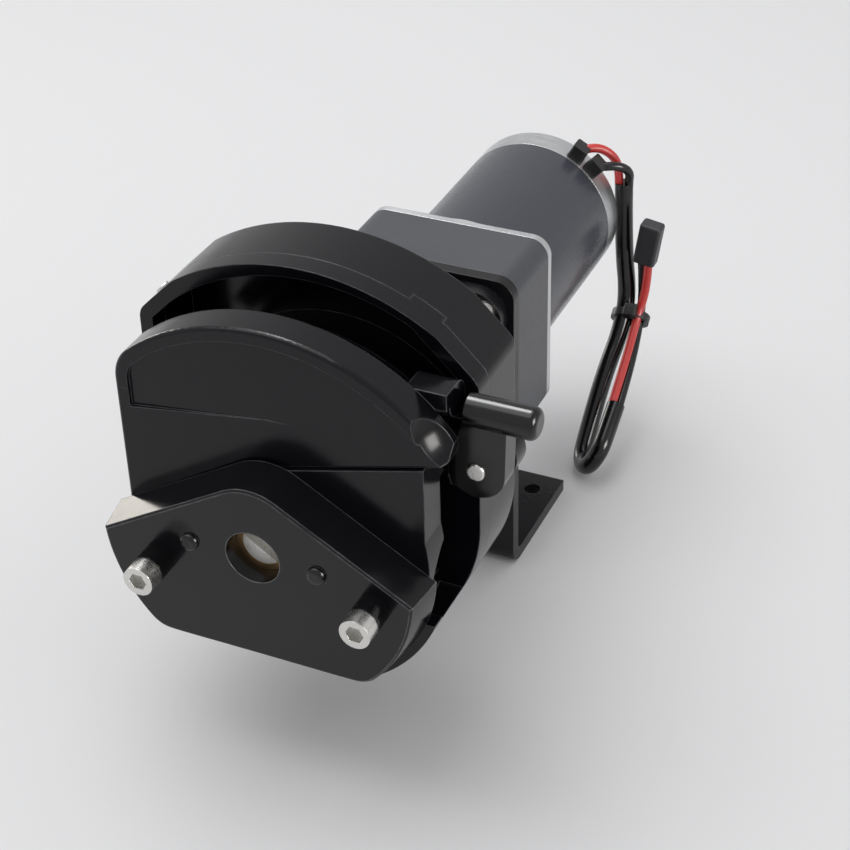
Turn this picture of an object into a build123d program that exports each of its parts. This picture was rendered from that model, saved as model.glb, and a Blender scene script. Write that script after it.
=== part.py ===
from build123d import *
import os
from math import asin, atan2, cos, degrees, hypot, radians, sin, sqrt, tan

# A flip-top peristaltic pump head on an L bracket, driven by an inline DC gearmotor.
# Millimetres. +Z is up, the motor lies towards +Y and the pump's front faces -Y. The origin is
# the centre of the foot's four bolt holes, on the underside of the foot. Distances along the
# pump axis are given as `ahead`, counted forward of the bracket's front face.

# ---- fits
gap = 0.4  # between pieces that move past each other
seat = 0.02  # radial play of a fixed piece in its hole
running = 0.05  # radial play of a shaft in its bearing

# ---- bracket
axis_height = 75.0
bracket_thick = 4.0
foot_length = 45.0
bracket_bend = 6.0
foot_hole_spacing_x = 44.0
foot_hole_spacing_y = 24.0
foot_hole_radius = 2.75

# ---- lengths of the head, from the bracket forward
adapter_length = 50.0
housing_depth = 18.0
ring_depth = 6.5
channel_width = 13.5
wall_thick = 10.0
plate_thick = 12.0

# ---- front bearing plate
plate_radius = 48.0
plate_floor = 35.5
plate_apex = 26.0
plate_shoulder = -2.2
plate_draft = 8.0
plate_apex_round = 17.0
plate_corner_round = 10.0
plate_bevel = 0.6

# ---- flip-top hood
hood_radius = 63.0
hood_left = 45.0
hood_corner_round = 12.0
hood_rim = 4.0
hood_relief = 1.2
hood_rim_round = 1.2
relief_left_z = 30.5
relief_right_z = 36.0
ramp_end_x = 8.0
ramp_low_z = -12.0
scoop_x = 55.5
scoop_z = 46.0
scoop_radius = 13.8
scoop_stand = 2.5  # its centre, ahead of the hood's face
hinge_x = -38.5
hinge_z = -4.0
hinge_lobe = 6.5
hinge_pin_radius = 2.5
hinge_pin_land = 1.0
hinge_pin_stand = 7.0
hood_travel = 95.0  # degrees the hood swings open
parting_mid_z = 21.0
parting_end_x = 50.4
parting_end_z = 34.4
carrier_outer = 53.0
carrier_inner = 46.5
carrier_start = 34.0
carrier_end = 150.0
carrier_pin_angles = (52.0, 90.0, 146.0)
carrier_pin_radius = 1.5
carrier_pin_bite = 6.0
nose_radius = 4.8
nose_x = 36.0
nose_z = 45.0

# ---- rotor, rollers and track
shaft_radius = 6.0
roller_radius = 8.5
roller_circle = 23.5
axle_radius = 2.5
roller_count = 3
disc_radius = 29.0
disc_thick = 3.0
hub_radius = 12.0
key_width = 4.0
tube_wall = 1.65
track_thick = 8.2
track_start = 22.0
track_end = 158.0
track_travel = 2.5
spring_radius = 2.4
spring_wire = 0.45
spring_turns = 4
spring_pocket = 4.5
spring_seat = 2.0
spring_angle = 28.0
guide_pin_radius = 1.5
guide_angle = 45.0
guide_pin_drop = 8.0

# ---- casing and housing
casing_radius = 46.0
block_right = 45.0
casing_floor = 40.0
port_floor = 18.0
port_radius = 15.0
channel_wall = 14.0
housing_radius = 69.0
housing_side = 50.5
housing_shoulder = 96.0
housing_round = 6.0
trough_radius = 64.0
trough_offset = 2.0
trough_wall = 4.0
trough_floor = 12.0
drum_radius = 44.0
back_wall = 3.5
tab_x = 33.0
tab_width = 9.0
tab_depth = 2.5
tab_play = 0.15
bearing_outer = 14.0
bearing_width = 8.0
bearing_race = 2.2

# ---- latch lever
lever_x = 53.0
lever_z = 24.5
lever_hub_radius = 8.0
lever_thick = 7.0
lever_pin_radius = 2.6
lever_bar_radius = 4.5
lever_bar_left = 49.8
lever_bar_right = 69.3
lever_bar_z = 41.2
pad_left = 30.0
pad_right = 49.0
pad_low = 15.0
pad_top = 34.0

# ---- extension fasteners on the front plate
screw_left = (-29.4, -8.6)
screw_right = (35.2, -6.0)
screw_radius = 2.5
screw_head_radius = 4.4
screw_head_length = 5.0
screw_socket = 2.3
screw_bite = 5.0
sleeve_radius = 4.6
sleeve_length = 6.5
dowel_x = 19.0
dowel_radius = 2.8
dowel_depth = 8.0
dowel_stand = 1.6
bush_length = 6.0
bush_wall = 2.0
slot_width = 3.0
slot_depth = 3.0

# ---- adapter
adapter_radius = 22.0
adapter_wall = 5.0
flange_width = 74.0
flange_height = 58.0
flange_thick = 6.0
flange_round = 9.0
flange_screw_x = 30.0
flange_screw_z = 22.0
rear_flange_width = 56.0
rear_flange_thick = 5.0
rear_screw_offset = 22.5
m4_radius = 2.0
m4_head_radius = 3.5
m4_head_length = 4.0

# ---- gearbox
gearbox_width = 60.0
gearbox_round = 6.0
gearbox_length = 24.0
gearbox_wall = 5.0
rear_plate_thick = 3.0
pilot_radius = 14.0
pilot_length = 6.0
output_radius = 4.0
output_flat = 1.0
coupling_radius = 11.0
coupling_length = 24.0
coupling_start = 12.0

# ---- motor
motor_radius = 27.0
motor_can_length = 58.0
motor_can_wall = 1.5
motor_ring_radius = 28.6
motor_ring_length = 3.0
end_bell_length = 9.0
magnet_thick = 3.5
air_gap = 0.6
core_length = 30.0
core_shift = 4.0
core_slots = 8
winding_length = 6.0
motor_shaft_radius = 2.5
commutator_radius = 6.5
commutator_length = 8.0
terminal_radius = 27.5
terminal_angles = (60.0, 46.0)
boot_width = 5.4
boot_height = 6.5

# ---- leads
lead_diameter = 3.0
lead_sleeve_diameter = 6.2
hank_thick = 6.6
hank_neck = 9.8
tie_thick = 1.4
tie_play = 1.0
tie_width = 2.8
connector_length = 15.0

# ---- stations and places worked out from the above
bracket_front = -(foot_length + bracket_thick) / 2
bracket_width = gearbox_width
housing_back = adapter_length
seam = housing_back + housing_depth
ring_face = seam + ring_depth
wall_back = ring_face + channel_width
wall_face = wall_back + wall_thick
plate_face = wall_face + plate_thick
channel_middle = ring_face + channel_width / 2
hinge = (hinge_x, hinge_z)
track_inner = roller_circle + roller_radius + 2 * tube_wall
track_outer = track_inner + track_thick
recess_radius = disc_radius + 2 * gap
recess_depth = disc_thick + 2 * gap
shaft_front = wall_face + bush_length
bush_radius = shaft_radius + bush_wall
rear_plate_back = -(bracket_thick + gearbox_length + rear_plate_thick)
can_front = rear_plate_back - motor_ring_length
can_back = can_front - motor_can_length
bell_back = can_back - end_bell_length


def ahead(distance):
    """Plane across the pump axis, this far in front of the bracket, facing forward."""
    return Plane((0, bracket_front - distance, axis_height), x_dir=(1, 0, 0), z_dir=(0, -1, 0))


def place(x, distance, z):
    """Point of the row frame at this offset from the pump axis."""
    return (x, bracket_front - distance, axis_height + z)


def polar(radius, angle):
    return (radius * cos(radians(angle)), radius * sin(radians(angle)))


def rod(back, front, radius, *centres, mode=Mode.ADD):
    """Round bar, or hole, along the pump axis at each centre."""
    with BuildSketch(ahead(back)) as end:
        with Locations(*(centres or [(0, 0)])):
            Circle(radius)
    extrude(end.sketch, amount=front - back, mode=mode)


def slab(back, front, outline, mode=Mode.ADD):
    """Prism of an outline drawn about the pump axis."""
    with BuildSketch(ahead(back)) as end:
        add(outline)
    extrude(end.sketch, amount=front - back, mode=mode)


def polygon(*points):
    """Closed flat face through these points."""
    with BuildSketch() as flat:
        with BuildLine():
            Polyline(*points, close=True)
        make_face()
    return flat.sketch


def sector(inner, outer, start, end):
    """Part of a ring between two angles, counted from +X towards +Z."""
    with BuildSketch() as flat:
        with BuildLine():
            low = CenterArc((0, 0), inner, start, end - start)
            high = CenterArc((0, 0), outer, start, end - start)
            Line(low @ 0, high @ 0)
            Line(low @ 1, high @ 1)
        make_face()
    return flat.sketch


def screw(head_end, length, radius, head_radius, head_length, socket, *centres):
    """Cylinder-head screws whose heads end at this distance, pointing to the rear."""
    under = head_end - head_length
    rod(under - length, under, radius, *centres)
    rod(under, head_end, head_radius, *centres)
    with BuildSketch(ahead(head_end)) as keys:
        with Locations(*centres):
            RegularPolygon(socket, 6, major_radius=False)
    extrude(keys.sketch, amount=-head_length * 0.6, mode=Mode.SUBTRACT)


def save(part, name):
    part.label = name
    export_step(part, f"parts/{name}.step")


os.makedirs("parts", exist_ok=True)

screw_centres = [screw_left, screw_right]
dowel_centres = [(-dowel_x, 0), (dowel_x, 0)]
flange_screws = [(x, z) for x in (-flange_screw_x, flange_screw_x) for z in (-flange_screw_z, flange_screw_z)]
rear_screws = [(x, z) for x in (-rear_screw_offset, rear_screw_offset) for z in (-rear_screw_offset, rear_screw_offset)]
roller_centres = [polar(roller_circle, 90 + n * 360 / roller_count) for n in range(roller_count)]

# ---- parting line between the hood and the front casing
mid = (0.0, parting_mid_z)
end = (parting_end_x, parting_end_z)
lean = atan2(mid[1] - hinge_z, mid[0] - hinge_x)
lean += asin(hinge_lobe / hypot(mid[0] - hinge_x, mid[1] - hinge_z))
start = (hinge_x + hinge_lobe * sin(lean), hinge_z - hinge_lobe * cos(lean))
far = 2 * housing_radius
swing_floor = hinge_z - hinge_lobe - (far + hinge_x) * tan(radians(hood_travel + 2 - 90))
beyond = (far, end[1] + (far - end[0]) * (end[1] - mid[1]) / (end[0] - mid[0]))

# ---- front bearing plate
with BuildPart() as front_bearing_plate:
    shoulder_x = sqrt(plate_radius**2 - plate_shoulder**2)
    slope = (plate_apex - plate_shoulder) / shoulder_x
    wide = 1.2 * plate_radius
    with BuildSketch(ahead(wall_face)) as plate_outline:
        Circle(plate_radius)
        add(
            polygon(
                (-wide, -plate_floor),
                (wide, -plate_floor),
                (wide, plate_apex - slope * wide),
                (0, plate_apex),
                (-wide, plate_apex - slope * wide),
            ),
            mode=Mode.INTERSECT,
        )
        fillet(plate_outline.vertices().group_by(Axis.Y)[0], plate_corner_round)
        fillet(plate_outline.vertices().sort_by(Axis.Y)[-1], plate_apex_round)
    extrude(amount=plate_thick, taper=plate_draft)
    chamfer(front_bearing_plate.faces().sort_by(Axis.Y)[0].outer_wire().edges(), plate_bevel)
    rod(wall_face, plate_face, bush_radius + seat, mode=Mode.SUBTRACT)
    rod(wall_face, plate_face, screw_radius + seat, *screw_centres, mode=Mode.SUBTRACT)
    rod(plate_face - dowel_depth, plate_face, dowel_radius + seat, *dowel_centres, mode=Mode.SUBTRACT)
    rod(wall_face, wall_face + hinge_pin_stand, hinge_pin_radius + seat, hinge, mode=Mode.SUBTRACT)
save(front_bearing_plate.part, "front_bearing_plate")

with BuildPart() as front_shaft_bush:
    rod(wall_face, wall_face + bush_length, bush_radius)
    rod(wall_face, wall_face + bush_length, shaft_radius + running, mode=Mode.SUBTRACT)
save(front_shaft_bush.part, "front_shaft_bush")

with BuildPart() as extension_screws:
    screw(
        plate_face + sleeve_length + screw_head_length,
        sleeve_length + plate_thick + screw_bite,
        screw_radius,
        screw_head_radius,
        screw_head_length,
        screw_socket,
        *screw_centres,
    )
save(extension_screws.part, "extension_screws")

with BuildPart() as extension_sleeves:
    rod(plate_face, plate_face + sleeve_length, sleeve_radius, *screw_centres)
    rod(plate_face, plate_face + sleeve_length, screw_radius + seat, *screw_centres, mode=Mode.SUBTRACT)
save(extension_sleeves.part, "extension_sleeves")

with BuildPart() as extension_dowels:
    dowel_bottom = plate_face - dowel_depth
    rod(dowel_bottom, plate_face + dowel_stand, dowel_radius, *dowel_centres)
    fillet(extension_dowels.edges().group_by(Axis.Y)[0], dowel_stand * 0.9)
save(extension_dowels.part, "extension_dowels")

# ---- front casing: wall under the hood, with the channel's lower wall behind it
with BuildPart() as front_casing:
    lower_radius = housing_side
    with BuildSketch() as lower_outline:
        Circle(lower_radius)
        under_ports = ((-far, -casing_floor), (far, -casing_floor), (far, -port_floor), (-far, -port_floor))
        add(polygon(*under_ports), mode=Mode.INTERSECT)
    with BuildSketch() as wall_outline:
        Circle(casing_radius)
        add(polygon((0, 0), (block_right, 0), (block_right, end[1]), (0, end[1])))
        add(polygon((-far, -casing_floor), (far, -casing_floor), (far, far), (-far, far)), mode=Mode.INTERSECT)
        with BuildSketch(mode=Mode.PRIVATE) as above:
            swing = ((far, far), (-far, far), (-far, swing_floor), (hinge_x, hinge_z - hinge_lobe))
            add(polygon(start, mid, end, beyond, *swing))
            with Locations(hinge):
                Circle(hinge_lobe)
            offset(amount=gap, kind=Kind.INTERSECTION)
        add(above.sketch, mode=Mode.SUBTRACT)
        add(lower_outline.sketch)
    slab(wall_back, wall_face, wall_outline.sketch)
    with BuildSketch() as channel_outline:
        add(lower_outline.sketch)
        Circle(lower_radius - channel_wall, mode=Mode.SUBTRACT)
    slab(ring_face, wall_back, channel_outline.sketch)
    rod(wall_back, wall_face, shaft_radius + 2 * gap, mode=Mode.SUBTRACT)
    rod(wall_face - screw_bite - gap, wall_face, screw_radius + seat, *screw_centres, mode=Mode.SUBTRACT)
    for side in (-1, 1):
        mouth = Plane(place(side * (block_right - 7), channel_middle, -9), x_dir=(0, -1, 0), z_dir=(side, 0, 0))
        with BuildSketch(mouth) as port:
            Circle(port_radius)
        extrude(port.sketch, amount=20, mode=Mode.SUBTRACT)
save(front_casing.part, "front_casing")

# ---- flip-top hood
carrier_pin_centres = [polar((carrier_inner + carrier_outer) / 2, turn) for turn in carrier_pin_angles]
with BuildPart() as flip_top_hood:
    with BuildSketch() as hood_outline:
        Circle(hood_radius)
        add(
            polygon((-hood_left, hinge_z), hinge, start, mid, end, (end[0], far), (-hood_left, far)),
            mode=Mode.INTERSECT,
        )
        with Locations(hinge):
            Circle(hinge_lobe)
        fillet(hood_outline.vertices().group_by(Axis.X)[0].sort_by(Axis.Y)[-1], hood_corner_round)
    slab(wall_back, wall_face, hood_outline.sketch)
    rim_edges = flip_top_hood.faces().sort_by(Axis.Y)[0].outer_wire().edges()
    fillet(rim_edges.filter_by(lambda e: (e @ 0.5).Z > axis_height + parting_end_z + 1), hood_rim_round)
    with BuildSketch() as relief:
        Circle(hood_radius - hood_rim)
        inner_left = hood_rim - hood_left
        under_relief = ((inner_left, relief_left_z), (0, relief_right_z), (far, relief_right_z))
        add(polygon(*under_relief, (far, far), (inner_left, far)), mode=Mode.INTERSECT)
        fillet(relief.vertices().group_by(Axis.X)[0].sort_by(Axis.Y)[-1], hood_corner_round - hood_rim)
    slab(wall_face - hood_relief, wall_face, relief.sketch, mode=Mode.SUBTRACT)
    with BuildSketch(Plane((0, bracket_front, axis_height + ramp_low_z))) as ramp:
        with BuildLine():
            Polyline(
                (-hood_left, -wall_face),
                (ramp_end_x, -wall_face + hood_relief),
                (far, -wall_face + hood_relief),
                (far, -wall_face - 1),
                (-hood_left, -wall_face - 1),
                close=True,
            )
        make_face()
    extrude(ramp.sketch, amount=relief_right_z - ramp_low_z, mode=Mode.SUBTRACT)
    with Locations(place(scoop_x, wall_face + scoop_stand, scoop_z)):
        Sphere(scoop_radius, mode=Mode.SUBTRACT)
    nose_y = channel_middle
    nose_length = end[0] - 3 - nose_x
    with BuildSketch(Plane(place(nose_x, nose_y, nose_z), x_dir=(0, -1, 0), z_dir=(1, 0, 0))) as nose:
        Circle(nose_radius)
        with Locations(((wall_back - nose_y) / 2, -nose_radius / 2)):
            Rectangle(wall_back - nose_y, nose_radius)
    extrude(nose.sketch, amount=nose_length)
    pin_hole_end = wall_back + carrier_pin_bite + gap
    rod(wall_back, pin_hole_end, carrier_pin_radius + seat, *carrier_pin_centres, mode=Mode.SUBTRACT)
    rod(wall_back + hinge_pin_land, wall_face, hinge_pin_radius + running, hinge, mode=Mode.SUBTRACT)
save(flip_top_hood.part, "flip_top_hood")

with BuildPart() as hood_hinge_pin:
    rod(wall_back + hinge_pin_land + gap, wall_face + hinge_pin_stand, hinge_pin_radius, hinge)
save(hood_hinge_pin.part, "hood_hinge_pin")

# ---- track carrier: the arch pinned behind the hood, which holds the sprung track
with BuildPart() as track_carrier:
    slab(ring_face + gap, wall_back, sector(carrier_inner, carrier_outer, carrier_start, carrier_end))
    rod(ring_face, wall_back, carrier_pin_radius + seat, *carrier_pin_centres, mode=Mode.SUBTRACT)
    for turn in (90 - spring_angle, 90 + spring_angle):
        x = polar(carrier_inner, turn)[0]
        seat_z = polar(carrier_inner, turn)[1] + spring_pocket
        with BuildSketch(Plane(place(x, channel_middle, track_outer * 0.6))) as pocket:
            Circle(spring_radius + 2 * gap)
        extrude(pocket.sketch, amount=seat_z - track_outer * 0.6, mode=Mode.SUBTRACT)
    for turn in (guide_angle, 180 - guide_angle):
        x, z = polar(carrier_inner, turn)
        low = z - 3 * guide_pin_radius
        with BuildSketch(Plane(place(x, channel_middle, low))) as guide:
            Circle(guide_pin_radius + running)
        extrude(guide.sketch, amount=polar(carrier_outer, turn)[1] - low - guide_pin_radius, mode=Mode.SUBTRACT)
save(track_carrier.part, "track_carrier")

with BuildPart() as carrier_pins:
    rod(ring_face + 2 * gap, wall_back + carrier_pin_bite, carrier_pin_radius, *carrier_pin_centres)
save(carrier_pins.part, "carrier_pins")

# ---- occlusion track, its guide pins and springs
with BuildPart() as occlusion_track:
    slab(ring_face + gap, wall_back - gap, sector(track_inner, track_outer, track_start, track_end))
    for turn in (90 - spring_angle, 90 + spring_angle):
        x = polar(carrier_inner, turn)[0]
        flat_z = polar(carrier_inner, turn)[1] - (carrier_inner - track_outer)
        with BuildSketch(Plane(place(x, channel_middle, flat_z - spring_seat))) as spot:
            Circle(spring_radius + 2 * gap)
        extrude(spot.sketch, amount=track_thick, mode=Mode.SUBTRACT)
    for turn in (guide_angle, 180 - guide_angle):
        x, z = polar(carrier_inner, turn)
        with BuildSketch(Plane(place(x, channel_middle, z - guide_pin_drop))) as hole:
            Circle(guide_pin_radius + seat)
        extrude(hole.sketch, amount=2 * guide_pin_drop, mode=Mode.SUBTRACT)
save(occlusion_track.part, "occlusion_track")

with BuildPart() as track_guide_pins:
    for turn in (guide_angle, 180 - guide_angle):
        x, z = polar(carrier_inner, turn)
        top = polar(carrier_outer, turn)[1] - guide_pin_radius - track_travel - gap
        with BuildSketch(Plane(place(x, channel_middle, z - guide_pin_drop))) as stem:
            Circle(guide_pin_radius)
        extrude(stem.sketch, amount=top - z + guide_pin_drop)
save(track_guide_pins.part, "track_guide_pins")

with BuildPart() as track_springs:
    for turn in (90 - spring_angle, 90 + spring_angle):
        x, z = polar(carrier_inner, turn)
        low = z - (carrier_inner - track_outer) - spring_seat + spring_wire
        high = z + spring_pocket - spring_wire
        foot = Plane(place(x, channel_middle, low))
        coil = Helix((high - low) / spring_turns, high - low, spring_radius - spring_wire)
        coil = foot.from_local_coords(coil)
        with BuildSketch(Plane(coil @ 0, z_dir=coil % 0)) as wire:
            Circle(spring_wire)
        sweep(wire.sketch, path=coil)
save(track_springs.part, "track_springs")

# ---- rotor
front_disc_front = wall_back - gap
front_disc_back = front_disc_front - disc_thick
rear_disc_front = ring_face - gap
rear_disc_back = rear_disc_front - disc_thick
with BuildPart() as drive_shaft:
    rod(coupling_start + coupling_length / 2 + 0.5, shaft_front, shaft_radius)
    with BuildSketch(ahead(shaft_front)) as slot:
        Rectangle(slot_width, 3 * shaft_radius, rotation=55)
    extrude(slot.sketch, amount=-slot_depth, mode=Mode.SUBTRACT)
    with BuildSketch(ahead(rear_disc_back)) as keyway:
        with Locations((0, shaft_radius)):
            Rectangle(key_width, key_width)
    extrude(keyway.sketch, amount=front_disc_back - rear_disc_back, mode=Mode.SUBTRACT)
    chamfer(drive_shaft.edges().filter_by(GeomType.CIRCLE).sort_by(Axis.Y)[-1], 0.6)
save(drive_shaft.part, "drive_shaft")

with BuildPart() as rotor_key:
    with BuildSketch(ahead(rear_disc_back)) as bar:
        with Locations((0, shaft_radius)):
            Rectangle(key_width, key_width)
    extrude(bar.sketch, amount=front_disc_back - rear_disc_back)
save(rotor_key.part, "rotor_key")

with BuildPart() as rotor_hub:
    rod(rear_disc_back, rear_disc_front, disc_radius)
    rod(rear_disc_front, front_disc_back, hub_radius)
    rod(rear_disc_back, front_disc_back, shaft_radius, mode=Mode.SUBTRACT)
    rod(rear_disc_back, rear_disc_front, axle_radius + seat, *roller_centres, mode=Mode.SUBTRACT)
    with BuildSketch(ahead(rear_disc_back)) as keyway:
        with Locations((0, shaft_radius)):
            Rectangle(key_width, key_width)
    extrude(keyway.sketch, amount=front_disc_back - rear_disc_back, mode=Mode.SUBTRACT)
    fillet(rotor_hub.edges().filter_by(GeomType.CIRCLE).group_by(SortBy.RADIUS)[-1], 0.6)
save(rotor_hub.part, "rotor_hub")

with BuildPart() as rotor_front_disc:
    rod(front_disc_back, front_disc_front, disc_radius)
    rod(front_disc_back, front_disc_front, shaft_radius + seat, mode=Mode.SUBTRACT)
    rod(front_disc_back, front_disc_front, axle_radius + seat, *roller_centres, mode=Mode.SUBTRACT)
    fillet(rotor_front_disc.edges().filter_by(GeomType.CIRCLE).group_by(SortBy.RADIUS)[-1], 0.6)
save(rotor_front_disc.part, "rotor_front_disc")

with BuildPart() as roller_axles:
    rod(rear_disc_back, front_disc_front, axle_radius, *roller_centres)
save(roller_axles.part, "roller_axles")

for number, centre in enumerate(roller_centres, start=1):
    with BuildPart() as roller:
        rod(ring_face + gap, front_disc_back - gap, roller_radius, centre)
        rod(ring_face + gap, front_disc_back - gap, axle_radius + running, centre, mode=Mode.SUBTRACT)
        fillet(roller.edges().filter_by(GeomType.CIRCLE).group_by(SortBy.RADIUS)[-1], 1.0)
    save(roller.part, f"roller_{number}")


# ---- front ring and rear housing
def housing_outline():
    """Round top cut by two sloping shoulders, straight sides and a round, flat-bottomed lower half."""
    top = housing_radius + 1
    with BuildSketch() as lower:
        Circle(housing_side)
        add(polygon((-far, -casing_floor), (far, -casing_floor), (far, far), (-far, far)), mode=Mode.INTERSECT)
    with BuildSketch() as outline:
        Circle(housing_radius)
        upper = polygon(
            (housing_side, 0),
            (housing_side, housing_shoulder - housing_side),
            (housing_shoulder - top, top),
            (top - housing_shoulder, top),
            (-housing_side, housing_shoulder - housing_side),
            (-housing_side, 0),
        )
        add(upper, mode=Mode.INTERSECT)
        corners = outline.vertices().filter_by(lambda v: abs(v.X) > housing_side - 0.1 and v.Y > 1)
        fillet(corners, housing_round)
        add(lower.sketch)
    return outline.sketch


def trough_outline():
    """Hollow between the outer wall and the drum, its arch set a little to the right."""
    top = housing_radius + 1
    side = housing_side - trough_wall
    shoulder = housing_shoulder - trough_wall * sqrt(2)
    with BuildSketch() as hollow:
        with Locations((trough_offset, trough_offset)):
            Circle(trough_radius)
        add(
            polygon(
                (side, trough_floor),
                (side, shoulder - side),
                (shoulder - top, top),
                (top - shoulder, top),
                (-side, shoulder - side),
                (-side, trough_floor),
            ),
            mode=Mode.INTERSECT,
        )
        Circle(drum_radius, mode=Mode.SUBTRACT)
    return hollow.sketch


def tabs(play):
    """Two stepped tabs on the outer wall's rear edge, where ring and housing interlock."""
    with BuildSketch() as steps:
        with Locations((-tab_x, housing_radius), (tab_x, housing_radius)):
            Rectangle(tab_width + 2 * play, housing_radius / 2)
        add(housing_outline(), mode=Mode.INTERSECT)
        add(trough_outline(), mode=Mode.SUBTRACT)
        Circle(drum_radius + 4, mode=Mode.SUBTRACT)
    return steps.sketch


with BuildPart() as front_ring:
    slab(seam, ring_face, housing_outline())
    slab(seam, ring_face, trough_outline(), mode=Mode.SUBTRACT)
    slab(seam - tab_depth, seam, tabs(0))
    with BuildSketch(ahead(seam)) as ear:
        with Locations((lever_x - 3, lever_z)):
            SlotCenterToCenter(6, 2 * lever_hub_radius)
    extrude(ear.sketch, amount=ring_depth)
    pad_corners = ((pad_left, pad_low), (pad_right, pad_low), (pad_right, pad_top), (pad_left, pad_top))
    slab(seam, ring_face, polygon(*pad_corners))
    rod(ring_face - recess_depth, ring_face, recess_radius, mode=Mode.SUBTRACT)
    rod(seam, ring_face, shaft_radius + 2 * gap, mode=Mode.SUBTRACT)
    rod(seam, ring_face, lever_pin_radius + seat, (lever_x, lever_z), mode=Mode.SUBTRACT)
save(front_ring.part, "front_ring")

with BuildPart() as rear_housing:
    slab(housing_back, seam, housing_outline())
    slab(housing_back + back_wall, seam, trough_outline(), mode=Mode.SUBTRACT)
    slab(seam - tab_depth - tab_play, seam, tabs(tab_play), mode=Mode.SUBTRACT)
    rod(seam - bearing_width, seam, bearing_outer + seat, mode=Mode.SUBTRACT)
    rod(housing_back, seam, shaft_radius + 2, mode=Mode.SUBTRACT)
    rod(housing_back, housing_back + 10, m4_radius + seat, *flange_screws, mode=Mode.SUBTRACT)
save(rear_housing.part, "rear_housing")

with BuildPart() as rear_bearing_outer:
    rod(seam - bearing_width, seam, bearing_outer)
    rod(seam - bearing_width, seam, bearing_outer - bearing_race, mode=Mode.SUBTRACT)
save(rear_bearing_outer.part, "rear_bearing_outer")

with BuildPart() as rear_bearing_inner:
    rod(seam - bearing_width, seam, bearing_outer - bearing_race - 0.15)
    rod(seam - bearing_width, seam, shaft_radius + seat, mode=Mode.SUBTRACT)
save(rear_bearing_inner.part, "rear_bearing_inner")

# ---- latch lever on its pin
lever_middle = ring_face + lever_bar_radius + gap
lever_back = lever_middle - lever_thick / 2
lever_front = lever_middle + lever_thick / 2
with BuildPart() as latch_lever:
    with BuildSketch() as lever_outline:
        with Locations((lever_x, lever_z)):
            Circle(lever_hub_radius)
        add(
            polygon(
                (lever_x - lever_hub_radius, lever_z),
                (lever_x + lever_hub_radius, lever_z),
                (lever_x + lever_hub_radius + 0.5, lever_bar_z),
                (lever_bar_left, lever_bar_z),
            )
        )
    slab(lever_back, lever_front, lever_outline.sketch)
    with BuildSketch(Plane(place(lever_bar_left, lever_middle, lever_bar_z), x_dir=(0, -1, 0), z_dir=(1, 0, 0))) as grip:
        Circle(lever_bar_radius)
    extrude(grip.sketch, amount=lever_bar_right - lever_bar_left)
    fillet(latch_lever.edges().filter_by(GeomType.CIRCLE).sort_by(Axis.X)[-1], 2.0)
    rod(lever_back, lever_front, lever_pin_radius + running, (lever_x, lever_z), mode=Mode.SUBTRACT)
save(latch_lever.part, "latch_lever")

with BuildPart() as latch_pin:
    rod(seam, lever_front + 0.8, lever_pin_radius, (lever_x, lever_z))
    fillet(latch_pin.edges().group_by(Axis.Y)[0], 0.6)
save(latch_pin.part, "latch_pin")

# ---- adapter between the head and the bracket
with BuildPart() as adapter:
    with BuildSketch(ahead(adapter_length - flange_thick)) as front_flange:
        RectangleRounded(flange_width, flange_height, flange_round)
    extrude(front_flange.sketch, amount=flange_thick)
    with BuildSketch(ahead(0)) as rear_flange:
        RectangleRounded(rear_flange_width, rear_flange_width, flange_round)
    extrude(rear_flange.sketch, amount=rear_flange_thick)
    rod(0, adapter_length, adapter_radius)
    rod(0, adapter_length, adapter_radius - adapter_wall, mode=Mode.SUBTRACT)
    rod(adapter_length - flange_thick, adapter_length, m4_radius + seat, *flange_screws, mode=Mode.SUBTRACT)
    rod(0, rear_flange_thick, m4_radius + seat, *rear_screws, mode=Mode.SUBTRACT)
save(adapter.part, "adapter")

with BuildPart() as housing_screws:
    flange_back = adapter_length - flange_thick
    rod(flange_back, housing_back + 9, m4_radius, *flange_screws)
    rod(flange_back - m4_head_length, flange_back, m4_head_radius, *flange_screws)
    with BuildSketch(ahead(flange_back - m4_head_length)) as keys:
        with Locations(*flange_screws):
            RegularPolygon(1.7, 6, major_radius=False)
    extrude(keys.sketch, amount=m4_head_length * 0.6, mode=Mode.SUBTRACT)
save(housing_screws.part, "housing_screws")

with BuildPart() as bracket_screws:
    screw(
        rear_flange_thick + m4_head_length,
        rear_flange_thick + bracket_thick + gearbox_wall - 1,
        m4_radius,
        m4_head_radius,
        m4_head_length,
        1.7,
        *rear_screws,
    )
save(bracket_screws.part, "bracket_screws")

# ---- L bracket
with BuildPart() as mounting_bracket:
    plate_top = axis_height + gearbox_width / 2
    with BuildSketch(Plane.YZ) as angle:
        with BuildLine():
            Polyline(
                (bracket_front, plate_top),
                (bracket_front, 0),
                (bracket_front + foot_length, 0),
                (bracket_front + foot_length, bracket_thick),
                (bracket_front + bracket_thick, bracket_thick),
                (bracket_front + bracket_thick, plate_top),
                close=True,
            )
        make_face()
        outer_corner = angle.vertices().sort_by_distance((bracket_front, 0, 0))[0]
        fillet(outer_corner, bracket_bend)
        inner_corner = angle.vertices().sort_by_distance((bracket_front + bracket_thick, bracket_thick, 0))[0]
        fillet(inner_corner, bracket_bend - bracket_thick)
    extrude(angle.sketch, amount=bracket_width / 2, both=True)
    upright = mounting_bracket.edges().filter_by(Axis.Y).group_by(Axis.Z)[-1]
    fillet(upright, gearbox_round)
    rod(-bracket_thick, 0, pilot_radius + seat, mode=Mode.SUBTRACT)
    rod(-bracket_thick, 0, m4_radius + seat, *rear_screws, mode=Mode.SUBTRACT)
    with BuildSketch() as foot_holes:
        with GridLocations(foot_hole_spacing_x, foot_hole_spacing_y, 2, 2):
            Circle(foot_hole_radius)
    extrude(foot_holes.sketch, amount=bracket_thick, mode=Mode.SUBTRACT)
save(mounting_bracket.part, "mounting_bracket")

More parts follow.
